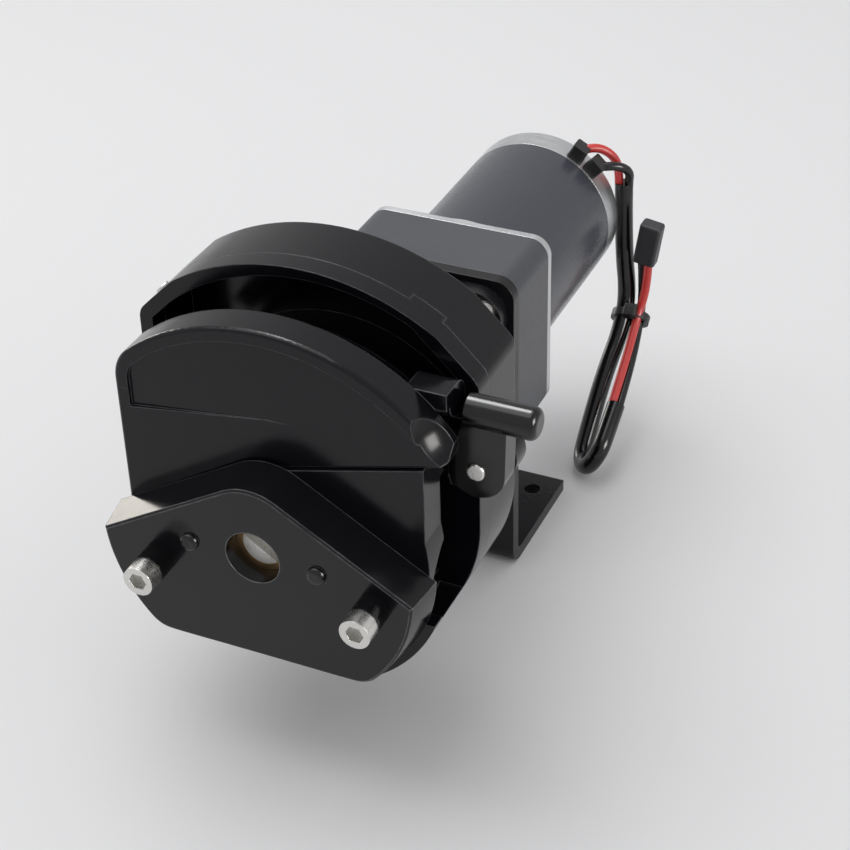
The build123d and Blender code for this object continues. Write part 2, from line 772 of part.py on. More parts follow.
# ---- gearbox
gearbox_front = -bracket_thick
gearbox_back = gearbox_front - gearbox_length
cavity_radius = gearbox_width / 2 - gearbox_wall
with BuildPart() as gearbox_housing:
    with BuildSketch(ahead(gearbox_back)) as square:
        RectangleRounded(gearbox_width, gearbox_width, gearbox_round)
    extrude(square.sketch, amount=gearbox_length)
    rod(gearbox_front, gearbox_front + pilot_length, pilot_radius)
    rod(gearbox_back, gearbox_front - gearbox_wall, cavity_radius, mode=Mode.SUBTRACT)
    rod(gearbox_back, gearbox_front + pilot_length, output_radius + 3 + seat, mode=Mode.SUBTRACT)
    rod(gearbox_front - gearbox_wall, gearbox_front, m4_radius + seat, *rear_screws, mode=Mode.SUBTRACT)
save(gearbox_housing.part, "gearbox_housing")

with BuildPart() as output_bearing:
    rod(gearbox_front - gearbox_wall, gearbox_front + pilot_length, output_radius + 3)
    rod(gearbox_front - gearbox_wall, gearbox_front + pilot_length, output_radius + running, mode=Mode.SUBTRACT)
save(output_bearing.part, "output_bearing")

with BuildPart() as gearbox_output_shaft:
    rod(gearbox_front - gearbox_wall - 3, coupling_start + coupling_length / 2 - 0.5, output_radius)
    rod(gearbox_front - gearbox_wall - 3 - 4, gearbox_front - gearbox_wall - 1, cavity_radius - 8)
save(gearbox_output_shaft.part, "gearbox_output_shaft")

with BuildPart() as gearbox_rear_plate:
    with BuildSketch(ahead(rear_plate_back)) as square:
        RectangleRounded(gearbox_width, gearbox_width, gearbox_round)
    extrude(square.sketch, amount=rear_plate_thick)
    rod(rear_plate_back, rear_plate_back + rear_plate_thick, motor_shaft_radius + 2, mode=Mode.SUBTRACT)
    chamfer(gearbox_rear_plate.faces().sort_by(Axis.Y)[-1].outer_wire().edges(), 0.5)
save(gearbox_rear_plate.part, "gearbox_rear_plate")

with BuildPart() as shaft_coupling:
    rod(coupling_start, coupling_start + coupling_length, coupling_radius)
    rod(coupling_start, coupling_start + coupling_length / 2, output_radius + seat, mode=Mode.SUBTRACT)
    rod(coupling_start + coupling_length / 2, coupling_start + coupling_length, shaft_radius + seat, mode=Mode.SUBTRACT)
    chamfer(shaft_coupling.edges().filter_by(GeomType.CIRCLE).group_by(SortBy.RADIUS)[-1], 0.8)
save(shaft_coupling.part, "shaft_coupling")

# ---- motor
with BuildPart() as motor_front_ring:
    rod(can_front, rear_plate_back, motor_ring_radius)
    rod(can_front, rear_plate_back, 8, mode=Mode.SUBTRACT)
    fillet(motor_front_ring.edges().filter_by(GeomType.CIRCLE).group_by(SortBy.RADIUS)[-1], 0.8)
save(motor_front_ring.part, "motor_front_ring")

with BuildPart() as motor_can:
    rod(can_back, can_front, motor_radius)
    rod(can_back, can_front, motor_radius - motor_can_wall, mode=Mode.SUBTRACT)
save(motor_can.part, "motor_can")

magnet_outer = motor_radius - motor_can_wall
magnet_inner = magnet_outer - magnet_thick
core_radius = magnet_inner - air_gap
core_middle = (can_front + can_back) / 2 + core_shift
with BuildPart() as motor_magnets:
    for side in (0, 180):
        arc = sector(magnet_inner, magnet_outer, side - 62, side + 62)
        slab(core_middle - core_length / 2 - 3, core_middle + core_length / 2 + 3, arc)
save(motor_magnets.part, "motor_magnets")

with BuildPart() as armature_core:
    rod(core_middle - core_length / 2, core_middle + core_length / 2, core_radius)
    rod(core_middle - core_length / 2, core_middle + core_length / 2, motor_shaft_radius, mode=Mode.SUBTRACT)
    with BuildSketch(ahead(core_middle - core_length / 2)) as slots:
        with PolarLocations(core_radius - 6, core_slots):
            Circle(3.2)
        with PolarLocations(core_radius - 1, core_slots):
            Rectangle(4, 2)
    extrude(slots.sketch, amount=core_length, mode=Mode.SUBTRACT)
save(armature_core.part, "armature_core")

with BuildPart() as armature_windings:
    for back in (core_middle - core_length / 2 - winding_length, core_middle + core_length / 2):
        rod(back, back + winding_length, core_radius - 3)
        rod(back, back + winding_length, motor_shaft_radius + 1.5, mode=Mode.SUBTRACT)
    fillet(armature_windings.edges().filter_by(GeomType.CIRCLE).group_by(SortBy.RADIUS)[-1], 2.5)
save(armature_windings.part, "armature_windings")

commutator_front = core_middle - core_length / 2 - winding_length - 1
with BuildPart() as commutator:
    rod(commutator_front - commutator_length, commutator_front, commutator_radius)
    rod(commutator_front - commutator_length, commutator_front, motor_shaft_radius, mode=Mode.SUBTRACT)
save(commutator.part, "commutator")

with BuildPart() as motor_shaft:
    rod(bell_back + 2, rear_plate_back + rear_plate_thick + 5, motor_shaft_radius)
save(motor_shaft.part, "motor_shaft")

with BuildPart() as motor_bearings:
    for back, front in ((can_front, rear_plate_back), (can_back - end_bell_length + 2, can_back)):
        rod(back, front, 8 - seat)
        rod(back, front, motor_shaft_radius + running, mode=Mode.SUBTRACT)
save(motor_bearings.part, "motor_bearings")

with BuildPart() as motor_brushes:
    for side in (-1, 1):
        with BuildSketch(ahead(commutator_front - commutator_length + 1)) as brush:
            with Locations((side * (commutator_radius + 0.1 + 4), 0)):
                Rectangle(8, 4)
        extrude(brush.sketch, amount=commutator_length - 2)
save(motor_brushes.part, "motor_brushes")


def boots(play):
    """Two insulating boots standing out of the end bell's rim, over the terminals."""
    blocks = []
    for turn in terminal_angles:
        boot_x, boot_z = polar(terminal_radius - 2 - play, turn)
        foot = Plane(
            place(boot_x, can_back - boot_width / 2 - 1, boot_z),
            x_dir=(sin(radians(turn)), 0, -cos(radians(turn))),
            z_dir=(cos(radians(turn)), 0, sin(radians(turn))),
        )
        with BuildPart() as boot:
            with BuildSketch(foot) as block:
                RectangleRounded(boot_width + 2 * play, boot_width + 2 * play, 0.8)
            extrude(block.sketch, amount=boot_height)
        blocks.append(boot.part)
    return blocks


with BuildPart() as motor_end_bell:
    rod(bell_back, can_back, motor_radius)
    rod(bell_back - 2.5, bell_back, 9)
    fillet(motor_end_bell.edges().filter_by(GeomType.CIRCLE).sort_by(Axis.Y)[-1], 1.5)
    rod(bell_back + 2, can_back, 8, mode=Mode.SUBTRACT)
    add(boots(seat), mode=Mode.SUBTRACT)
save(motor_end_bell.part, "motor_end_bell")

with BuildPart() as terminal_boots:
    add(boots(0))
save(terminal_boots.part, "terminal_boots")


# ---- leads, tied in a hank that leans on the floor behind the bracket
def cord(points, diameter):
    """Lead along straight runs joined by arcs, each as large as its two runs allow."""
    knots = [Vector(*place(x, -y, z)) for x, y, z in points]
    radii = []
    for before, here, after in zip(knots, knots[1:], knots[2:]):
        run_in, run_out = here - before, after - here
        half_turn = radians(run_in.get_angle(run_out)) / 2
        radii.append(0.45 * min(run_in.length, run_out.length) / tan(half_turn))
    print("cord radii", [round(radius, 1) for radius in radii])
    with BuildLine() as route:
        FilletPolyline(*knots, radius=radii)
    with BuildSketch(Plane(route.line @ 0, z_dir=route.line % 0)) as section:
        Circle(diameter / 2)
    sweep(section.sketch, path=route.line)


# routes as x, distance behind the bracket's front face and z, about the pump axis
red_route = [(14.4, 96, 25.2), (18.6, 99.6, 27.0), (25.4, 103.6, 21.6), (26.0, 105, 11.4)]
black_route = [(20.4, 96, 20.6), (26.6, 98.8, 21.4), (30.2, 103.4, 17.6), (29.1, 105.2, 11.4)]
sleeve_route = [(27.5, 105.1, 12.0), (28.4, 104.4, -12.0), (32.0, 101.2, -34.8)]
red_tail_route = [(36.6, 99.7, -33.2), (38.6, 100.8, -24.0), (39.3, 99.0, -13.0)]
black_tail_route = [(36.4, 102.8, -36.0), (36.4, 103.6, -25.4), (36.0, 101.6, -13.0)]

with BuildPart() as red_lead:
    cord(red_route, lead_diameter)
save(red_lead.part, "red_lead")

with BuildPart() as black_lead:
    cord(black_route, lead_diameter)
save(black_lead.part, "black_lead")

with BuildPart() as lead_sleeve:
    cord(sleeve_route, lead_sleeve_diameter)
save(lead_sleeve.part, "lead_sleeve")

with BuildPart() as red_tail:
    cord(red_tail_route, lead_diameter)
save(red_tail.part, "red_tail")

with BuildPart() as black_tail:
    cord(black_tail_route, lead_diameter)
save(black_tail.part, "black_tail")

connector_foot = Vector(*place(37.7, -100.3, -13.6))
connector_end = Vector(*place(40.0, -100.0, 1.4))
with BuildPart() as lead_connector:
    with BuildSketch(Plane(connector_foot, x_dir=(1, 0, 0), z_dir=connector_end - connector_foot)) as shell:
        RectangleRounded(7.6, 6.0, 1.2)
    extrude(shell.sketch, amount=connector_length)
    fillet(lead_connector.faces().sort_by(Axis.Z)[-1].outer_wire().edges(), 1.0)
save(lead_connector.part, "lead_connector")

# the folded leads' outer shape: narrow in the tie, opening and turning towards the fold
hank_neck_middle = Vector(*place(33.6, -101.0, -35.0))
hank_foot = Vector(*place(35.6, -51.5, -70.0))
hank_length = (hank_foot - hank_neck_middle).length
hank_plane = Plane(hank_neck_middle, x_dir=(1, 0, 0.1), z_dir=hank_foot - hank_neck_middle)
hank_sections = [(0, hank_neck, 0), (0.25, 12.5, 15), (0.6, 18.5, 36), (0.9, 21.0, 50), (1.0, 15.0, 50)]
with BuildPart() as lead_hank:
    outlines = []
    for share, width, turn in hank_sections:
        level = hank_plane.offset(share * hank_length).rotated((0, 0, turn))
        with BuildSketch(level) as outline:
            SlotOverall(width, hank_thick)
        outlines.append(outline.sketch.faces()[0])
    loft(outlines)
save(lead_hank.part, "lead_hank")

with BuildPart() as cable_tie:
    with BuildSketch(hank_plane.offset(1.0)) as band:
        SlotOverall(hank_neck + 2 * tie_thick + tie_play, hank_thick + 2 * tie_thick + tie_play)
        SlotOverall(hank_neck + tie_play, hank_thick + tie_play, mode=Mode.SUBTRACT)
    extrude(band.sketch, amount=tie_width)
    with BuildSketch(hank_plane.offset(0.2)) as lock:
        with Locations((1.5, hank_thick / 2 + tie_play / 2 + 1.7)):
            RectangleRounded(4.4, 3.4, 0.6)
    extrude(lock.sketch, amount=tie_width + 1.6)
save(cable_tie.part, "cable_tie")
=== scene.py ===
import bpy
import numpy as np
from mathutils import Matrix


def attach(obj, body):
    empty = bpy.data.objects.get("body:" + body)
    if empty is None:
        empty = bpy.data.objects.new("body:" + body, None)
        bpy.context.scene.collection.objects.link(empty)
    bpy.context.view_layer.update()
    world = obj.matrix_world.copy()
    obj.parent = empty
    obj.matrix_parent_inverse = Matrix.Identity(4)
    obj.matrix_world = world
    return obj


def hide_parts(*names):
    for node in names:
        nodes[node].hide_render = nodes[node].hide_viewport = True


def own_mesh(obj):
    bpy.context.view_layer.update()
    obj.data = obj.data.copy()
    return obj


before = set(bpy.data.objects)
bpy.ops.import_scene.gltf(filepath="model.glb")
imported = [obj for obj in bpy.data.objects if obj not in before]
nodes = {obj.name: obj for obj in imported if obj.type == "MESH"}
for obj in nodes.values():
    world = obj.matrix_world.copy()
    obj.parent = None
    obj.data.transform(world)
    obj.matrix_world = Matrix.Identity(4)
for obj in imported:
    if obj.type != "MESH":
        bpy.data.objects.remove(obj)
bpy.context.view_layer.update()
print("frame loaded,", len(nodes), "nodes")


def sockets(tree, ins, outs):
    # named inputs with their defaults, then named outputs
    for name, kind, value in ins:
        made = tree.interface.new_socket(name=name, in_out="INPUT", socket_type=kind)
        made.default_value = value
    for name, kind in outs:
        tree.interface.new_socket(name=name, in_out="OUTPUT", socket_type=kind)
    return tree.nodes.new("NodeGroupInput"), tree.nodes.new("NodeGroupOutput")


def mathNode(tree, operation, first, second=0.0, clamp=False):
    node = tree.nodes.new("ShaderNodeMath")
    node.operation = operation
    node.use_clamp = clamp
    for socket, value in zip(node.inputs, (first, second)):
        if isinstance(value, (int, float)):
            socket.default_value = value
        else:
            tree.links.new(value, socket)
    return node.outputs[0]


def rangeNode(tree, value, fromLow, fromHigh, toLow, toHigh):
    node = tree.nodes.new("ShaderNodeMapRange")
    for index, number in enumerate((fromLow, fromHigh, toLow, toHigh), start=1):
        if isinstance(number, (int, float)):
            node.inputs[index].default_value = number
        else:
            tree.links.new(number, node.inputs[index])
    tree.links.new(value, node.inputs[0])
    return node.outputs[0]


def noiseNode(tree, vector, scale, detail, rough):
    node = tree.nodes.new("ShaderNodeTexNoise")
    tree.links.new(vector, node.inputs["Vector"])
    if isinstance(scale, (int, float)):
        node.inputs["Scale"].default_value = scale
    else:
        tree.links.new(scale, node.inputs["Scale"])
    node.inputs["Detail"].default_value = detail
    node.inputs["Roughness"].default_value = rough
    return node.outputs["Fac"]


def makeEdgeGroup():
    # rounds the shading over each sharp edge, and masks where it does; the mask is where a painted edge highlight
    # goes, broken into patches like wear
    tree = bpy.data.node_groups.new("edgeWearAndHighlight", "ShaderNodeTree")
    start, end = sockets(
        tree,
        [("Radius", "NodeSocketFloat", 0.0004), ("Strength", "NodeSocketFloat", 3.0)],
        [("Normal", "NodeSocketVector"), ("Mask", "NodeSocketFloat")],
    )
    bevel = tree.nodes.new("ShaderNodeBevel")
    bevel.samples = 4
    tree.links.new(start.outputs["Radius"], bevel.inputs["Radius"])
    geometry = tree.nodes.new("ShaderNodeNewGeometry")
    dot = tree.nodes.new("ShaderNodeVectorMath")
    dot.operation = "DOT_PRODUCT"
    tree.links.new(bevel.outputs["Normal"], dot.inputs[0])
    tree.links.new(geometry.outputs["Normal"], dot.inputs[1])
    turned = mathNode(tree, "SUBTRACT", 1.0, dot.outputs["Value"])
    place = tree.nodes.new("ShaderNodeTexCoord").outputs["Object"]
    # noise that breaks the painted edge highlight into patches, like wear
    edgeBreakup = noiseNode(tree, place, scale=260.0, detail=3.0, rough=0.6)
    broken = rangeNode(tree, edgeBreakup, fromLow=0.3, fromHigh=0.65, toLow=0.25, toHigh=1.0)
    strong = mathNode(tree, "MULTIPLY", turned, start.outputs["Strength"])
    mask = mathNode(tree, "MULTIPLY", strong, broken, clamp=True)
    tree.links.new(bevel.outputs["Normal"], end.inputs["Normal"])
    tree.links.new(mask, end.inputs["Mask"])
    return tree


def makeHandledGroup():
    # roughness between two values, in soft patches with finer wiping marks over them
    tree = bpy.data.node_groups.new("handledSheen", "ShaderNodeTree")
    start, end = sockets(
        tree,
        [("Low", "NodeSocketFloat", 0.2), ("High", "NodeSocketFloat", 0.4), ("Scale", "NodeSocketFloat", 40.0)],
        [("Roughness", "NodeSocketFloat"), ("Patch", "NodeSocketFloat")],
    )
    place = tree.nodes.new("ShaderNodeTexCoord").outputs["Object"]
    patches = noiseNode(tree, place, scale=start.outputs["Scale"], detail=4.0, rough=0.55)
    stretched = tree.nodes.new("ShaderNodeMapping")
    stretched.inputs["Scale"].default_value = (1.0, 3.0, 5.0)
    stretched.inputs["Rotation"].default_value = (0.3, 0.5, 0.2)
    tree.links.new(place, stretched.inputs["Vector"])
    wiped = noiseNode(tree, stretched.outputs["Vector"], scale=160.0, detail=2.0, rough=0.5)
    patchShare, wipedShare = 0.7, 0.3
    both = mathNode(tree, "ADD", mathNode(tree, "MULTIPLY", patches, patchShare),
                    mathNode(tree, "MULTIPLY", wiped, wipedShare))
    rough = rangeNode(tree, both, fromLow=0.35, fromHigh=0.65, toLow=start.outputs["Low"],
                      toHigh=start.outputs["High"])
    tree.links.new(rough, end.inputs["Roughness"])
    tree.links.new(patches, end.inputs["Patch"])
    return tree


def makeDustGroup():
    # a thin film of dust on faces that look up
    tree = bpy.data.node_groups.new("restingDust", "ShaderNodeTree")
    start, end = sockets(tree, [("Amount", "NodeSocketFloat", 0.1)], [("Mask", "NodeSocketFloat")])
    geometry = tree.nodes.new("ShaderNodeNewGeometry")
    parts = tree.nodes.new("ShaderNodeSeparateXYZ")
    tree.links.new(geometry.outputs["Normal"], parts.inputs[0])
    upward = rangeNode(tree, parts.outputs["Z"], fromLow=0.3, fromHigh=1.0, toLow=0.0, toHigh=1.0)
    place = tree.nodes.new("ShaderNodeTexCoord").outputs["Object"]
    grains = noiseNode(tree, place, scale=900.0, detail=2.0, rough=0.7)
    specks = rangeNode(tree, grains, fromLow=0.45, fromHigh=0.75, toLow=0.3, toHigh=1.0)
    film = mathNode(tree, "MULTIPLY", upward, specks)
    tree.links.new(mathNode(tree, "MULTIPLY", film, start.outputs["Amount"], clamp=True), end.inputs["Mask"])
    return tree


def makeTurnedGroup():
    # fine rings round an axis along Y: noise that changes only with radius and with Y
    tree = bpy.data.node_groups.new("latheLines", "ShaderNodeTree")
    start, end = sockets(
        tree,
        [("Centre", "NodeSocketVector", pumpAxis), ("Density", "NodeSocketFloat", 2500.0)],
        [("Height", "NodeSocketFloat")],
    )
    place = tree.nodes.new("ShaderNodeTexCoord").outputs["Object"]
    shifted = tree.nodes.new("ShaderNodeVectorMath")
    shifted.operation = "SUBTRACT"
    tree.links.new(place, shifted.inputs[0])
    tree.links.new(start.outputs["Centre"], shifted.inputs[1])
    parts = tree.nodes.new("ShaderNodeSeparateXYZ")
    tree.links.new(shifted.outputs[0], parts.inputs[0])
    across = mathNode(tree, "MULTIPLY", parts.outputs["X"], parts.outputs["X"])
    upward = mathNode(tree, "MULTIPLY", parts.outputs["Z"], parts.outputs["Z"])
    radius = mathNode(tree, "SQRT", mathNode(tree, "ADD", across, upward))
    rings = tree.nodes.new("ShaderNodeCombineXYZ")
    tree.links.new(radius, rings.inputs["X"])
    tree.links.new(parts.outputs["Y"], rings.inputs["Y"])
    lines = noiseNode(tree, rings.outputs[0], scale=start.outputs["Density"], detail=2.0, rough=0.6)
    tree.links.new(lines, end.inputs["Height"])
    return tree


pumpAxis = (0.0, 0.0, 0.075)  # a point on the line that the shafts turn about
edgeWearHighlightGroup = makeEdgeGroup()
handledGroup = makeHandledGroup()
dustGroup = makeDustGroup()
turnedGroup = makeTurnedGroup()


def placeGroup(tree, group, **values):
    node = tree.nodes.new("ShaderNodeGroup")
    node.node_tree = group
    for name, value in values.items():
        node.inputs[name].default_value = value
    return node


def mixColour(tree, mask, first, second):
    node = tree.nodes.new("ShaderNodeMix")
    node.data_type = "RGBA"
    node.blend_type = "MIX"
    tree.links.new(mask, node.inputs["Factor"])
    for index, value in ((6, first), (7, second)):  # the mixer's two colour inputs
        if isinstance(value, tuple):
            node.inputs[index].default_value = (*value, 1.0)
        else:
            tree.links.new(value, node.inputs[index])
    return node.outputs[2]


dustColour = (0.32, 0.32, 0.33)
grainDepth = 0.0001
ringDepth = 0.00005


def startMaterial(name, finish):
    material = bpy.data.materials.new(name)
    material.use_nodes = True
    tree = material.node_tree
    shader = tree.nodes["Principled BSDF"]
    shader.inputs["Metallic"].default_value = finish.get("metallic", 0.0)
    shader.inputs["IOR"].default_value = finish.get("ior", 1.5)
    shader.inputs["Coat Weight"].default_value = finish.get("coat", 0.0)
    shader.inputs["Coat Roughness"].default_value = finish.get("coatRough", 0.1)
    return material, tree, shader


def coatedSurface(name, finish):
    # paint, plastic or rubber: patchy colour and sheen, a lighter colour on edges that is partly wear and partly a
    # painted edge highlight, fine grain and a little dust
    material, tree, shader = startMaterial(name, finish)
    edge = placeGroup(tree, edgeWearHighlightGroup, Radius=finish["edgeRadius"], Strength=finish["edgeStrength"])
    sheen = placeGroup(tree, handledGroup, Low=finish["rough"][0], High=finish["rough"][1], Scale=finish["patch"])
    dust = placeGroup(tree, dustGroup, Amount=finish["dust"])
    body = mixColour(tree, sheen.outputs["Patch"], finish["colour"], finish["second"])
    # edge colour mixed in: partly wear, partly a painted highlight along the edges
    wornAndEdgeLit = mixColour(tree, edge.outputs["Mask"], body, finish["edgeWearHighlightColour"])
    dusty = mixColour(tree, dust.outputs["Mask"], wornAndEdgeLit, dustColour)
    tree.links.new(dusty, shader.inputs["Base Color"])
    tree.links.new(sheen.outputs["Roughness"], shader.inputs["Roughness"])
    place = tree.nodes.new("ShaderNodeTexCoord").outputs["Object"]
    bump = tree.nodes.new("ShaderNodeBump")
    bump.inputs["Strength"].default_value = finish["bump"]
    bump.inputs["Distance"].default_value = grainDepth
    grain = noiseNode(tree, place, scale=finish["grain"], detail=3.0, rough=0.6)
    tree.links.new(grain, bump.inputs["Height"])
    tree.links.new(edge.outputs["Normal"], bump.inputs["Normal"])
    tree.links.new(bump.outputs["Normal"], shader.inputs["Normal"])
    return material


def machinedMetal(name, finish):
    # turned or ground metal: rings that change sheen and height, darker patches, and edges painted brighter, partly
    # wear and partly a painted highlight
    material, tree, shader = startMaterial(name, finish)
    edge = placeGroup(tree, edgeWearHighlightGroup, Radius=finish["edgeRadius"], Strength=finish["edgeStrength"])
    rings = placeGroup(tree, turnedGroup, Centre=finish["centre"], Density=finish["density"])
    sheen = placeGroup(tree, handledGroup, Low=finish["rough"][0], High=finish["rough"][1], Scale=finish["patch"])
    body = mixColour(tree, sheen.outputs["Patch"], finish["colour"], finish["second"])
    # edge colour mixed in: partly wear, partly a painted highlight along the edges
    tree.links.new(mixColour(tree, edge.outputs["Mask"], body, finish["edgeWearHighlightColour"]), shader.inputs["Base Color"])
    ringRough = rangeNode(tree, rings.outputs["Height"], fromLow=0.35, fromHigh=0.65,
                          toLow=-finish["ringRough"], toHigh=finish["ringRough"])
    total = mathNode(tree, "ADD", sheen.outputs["Roughness"], ringRough, clamp=True)
    tree.links.new(total, shader.inputs["Roughness"])
    bump = tree.nodes.new("ShaderNodeBump")
    bump.inputs["Strength"].default_value = finish["bump"]
    bump.inputs["Distance"].default_value = ringDepth
    tree.links.new(rings.outputs["Height"], bump.inputs["Height"])
    tree.links.new(edge.outputs["Normal"], bump.inputs["Normal"])
    tree.links.new(bump.outputs["Normal"], shader.inputs["Normal"])
    return material


def dress(material, *names):
    for name in names:
        slots = nodes[name].data.materials
        if not slots:
            slots.append(material)
        for index in range(len(slots)):
            slots[index] = material


# the edge colour in each finish below is a painted edge highlight, partly wear
blackPlate = dict(
    colour=(0.0030, 0.0030, 0.0042), second=(0.0055, 0.0055, 0.0070), edgeWearHighlightColour=(0.42, 0.42, 0.43),
    rough=(0.12, 0.20), patch=35.0, grain=2600.0, bump=0.03, ior=1.42,
    edgeRadius=0.00045, edgeStrength=5.0, dust=0.012,
)
dress(coatedSurface("blackPlate", blackPlate), "front_bearing_plate")
blackHousing = dict(
    colour=(0.0022, 0.0022, 0.0036), second=(0.0042, 0.0042, 0.0060), edgeWearHighlightColour=(0.20, 0.20, 0.21),
    rough=(0.13, 0.22), patch=28.0, grain=1900.0, bump=0.04, ior=1.36,
    edgeRadius=0.0005, edgeStrength=3.0, dust=0.014,
)
dress(coatedSurface("blackHousing", blackHousing), "front_casing", "flip_top_hood", "track_carrier",
      "front_ring", "rear_housing")
blackFitting = dict(
    colour=(0.0026, 0.0026, 0.0034), second=(0.0050, 0.0050, 0.0058), edgeWearHighlightColour=(0.12, 0.12, 0.12),
    rough=(0.12, 0.22), patch=90.0, grain=3000.0, bump=0.03, ior=1.48,
    edgeRadius=0.0003, edgeStrength=2.0, dust=0.01,
)
dress(coatedSurface("blackFitting", blackFitting), "latch_lever", "extension_dowels", "extension_sleeves")
rubberBoot = dict(
    colour=(0.006, 0.006, 0.006), second=(0.011, 0.011, 0.011), edgeWearHighlightColour=(0.03, 0.03, 0.03),
    rough=(0.4, 0.55), patch=150.0, grain=2200.0, bump=0.2,
    edgeRadius=0.0003, edgeStrength=1.0, dust=0.05,
)
dress(coatedSurface("rubberBoot", rubberBoot), "terminal_boots")
trackPlastic = dict(
    colour=(0.03, 0.03, 0.034), second=(0.045, 0.045, 0.05), edgeWearHighlightColour=(0.09, 0.09, 0.1),
    rough=(0.42, 0.55), patch=60.0, grain=1500.0, bump=0.2,
    edgeRadius=0.0003, edgeStrength=1.2, dust=0.05,
)
dress(coatedSurface("trackPlastic", trackPlastic), "occlusion_track")
adapterBlack = dict(
    colour=(0.0045, 0.0045, 0.0060), second=(0.0085, 0.0085, 0.0100), edgeWearHighlightColour=(0.10, 0.10, 0.10),
    rough=(0.22, 0.34), patch=40.0, grain=1700.0, bump=0.08, ior=1.42,
    edgeRadius=0.0004, edgeStrength=2.0, dust=0.02,
)
dress(coatedSurface("adapterBlack", adapterBlack), "adapter")
bracketBlack = dict(
    colour=(0.0030, 0.0030, 0.0045), second=(0.0060, 0.0060, 0.0075), edgeWearHighlightColour=(0.16, 0.16, 0.16),
    rough=(0.24, 0.36), patch=30.0, grain=1400.0, bump=0.12, ior=1.40,
    edgeRadius=0.0004, edgeStrength=2.4, dust=0.015,
)
dress(coatedSurface("bracketBlack", bracketBlack), "mounting_bracket")
rollerPlastic = dict(
    colour=(0.62, 0.62, 0.58), second=(0.7, 0.7, 0.66), edgeWearHighlightColour=(0.78, 0.78, 0.75),
    rough=(0.3, 0.42), patch=80.0, grain=1200.0, bump=0.05, coat=0.2,
    edgeRadius=0.0003, edgeStrength=1.0, dust=0.0,
)
dress(coatedSurface("rollerPlastic", rollerPlastic), "roller_1", "roller_2", "roller_3")
gearboxGrey = dict(
    colour=(0.050, 0.053, 0.062), second=(0.064, 0.068, 0.078), edgeWearHighlightColour=(0.36, 0.36, 0.37),
    rough=(0.34, 0.44), patch=26.0, grain=1500.0, bump=0.12,
    edgeRadius=0.0004, edgeStrength=2.6, dust=0.03,
)
dress(coatedSurface("gearboxGrey", gearboxGrey), "gearbox_housing")
motorPaint = dict(
    colour=(0.046, 0.050, 0.062), second=(0.058, 0.063, 0.076), edgeWearHighlightColour=(0.24, 0.24, 0.26),
    rough=(0.2, 0.3), patch=22.0, grain=1600.0, bump=0.06,
    edgeRadius=0.0004, edgeStrength=1.5, dust=0.015,
)
dress(coatedSurface("motorPaint", motorPaint), "motor_can")
connectorPlastic = dict(
    colour=(0.018, 0.019, 0.021), second=(0.028, 0.028, 0.031), edgeWearHighlightColour=(0.08, 0.08, 0.08),
    rough=(0.4, 0.55), patch=120.0, grain=1800.0, bump=0.25,
    edgeRadius=0.0003, edgeStrength=1.0, dust=0.06,
)
dress(coatedSurface("connectorPlastic", connectorPlastic), "lead_connector")
tieNylon = dict(
    colour=(0.005, 0.005, 0.005), second=(0.010, 0.010, 0.010), edgeWearHighlightColour=(0.05, 0.05, 0.05),
    rough=(0.25, 0.4), patch=160.0, grain=2500.0, bump=0.2,
    edgeRadius=0.0002, edgeStrength=1.0, dust=0.02,
)
dress(coatedSurface("tieNylon", tieNylon), "cable_tie")

brightSteel = dict(
    colour=(0.62, 0.61, 0.58), second=(0.74, 0.73, 0.71), edgeWearHighlightColour=(0.9, 0.9, 0.88), metallic=1.0,
    rough=(0.24, 0.36), patch=180.0, ringRough=0.08, bump=0.35, density=2600.0, centre=pumpAxis,
    edgeRadius=0.00025, edgeStrength=2.0,
)
screwSteel = machinedMetal("brightSteel", brightSteel)
dress(
    screwSteel,
    "extension_screws", "housing_screws", "bracket_screws", "hood_hinge_pin", "carrier_pins", "track_guide_pins",
    "latch_pin", "rotor_key", "roller_axles",
)
groundSteel = dict(
    colour=(0.70, 0.70, 0.69), second=(0.78, 0.78, 0.77), edgeWearHighlightColour=(0.92, 0.92, 0.9), metallic=1.0,
    rough=(0.16, 0.28), patch=90.0, ringRough=0.06, bump=0.25, density=3200.0, centre=pumpAxis,
    edgeRadius=0.00025, edgeStrength=2.0,
)
dress(
    machinedMetal("groundSteel", groundSteel),
    "gearbox_output_shaft", "motor_shaft", "shaft_coupling", "track_springs",
    "rear_bearing_outer", "rear_bearing_inner", "motor_bearings",
)
shaftEnd = dict(
    colour=(0.78, 0.77, 0.73), second=(0.86, 0.85, 0.81), edgeWearHighlightColour=(0.95, 0.95, 0.92), metallic=0.45,
    rough=(0.28, 0.4), patch=120.0, ringRough=0.08, bump=0.3, density=3200.0, centre=pumpAxis,
    edgeRadius=0.00025, edgeStrength=2.0,
)
dress(machinedMetal("shaftEnd", shaftEnd), "drive_shaft")
platedSteel = dict(
    colour=(0.52, 0.53, 0.54), second=(0.62, 0.63, 0.64), edgeWearHighlightColour=(0.86, 0.86, 0.86), metallic=0.9,
    rough=(0.3, 0.42), patch=45.0, ringRough=0.06, bump=0.2, density=1500.0, centre=pumpAxis,
    edgeRadius=0.0004, edgeStrength=2.0,
)
dress(machinedMetal("platedSteel", platedSteel), "gearbox_rear_plate", "motor_front_ring", "motor_end_bell")
rotorAluminium = dict(
    colour=(0.5, 0.51, 0.53), second=(0.6, 0.61, 0.63), edgeWearHighlightColour=(0.85, 0.85, 0.86), metallic=1.0,
    rough=(0.3, 0.42), patch=60.0, ringRough=0.1, bump=0.4, density=1800.0, centre=pumpAxis,
    edgeRadius=0.0003, edgeStrength=2.0,
)
dress(machinedMetal("rotorAluminium", rotorAluminium), "rotor_hub", "rotor_front_disc")
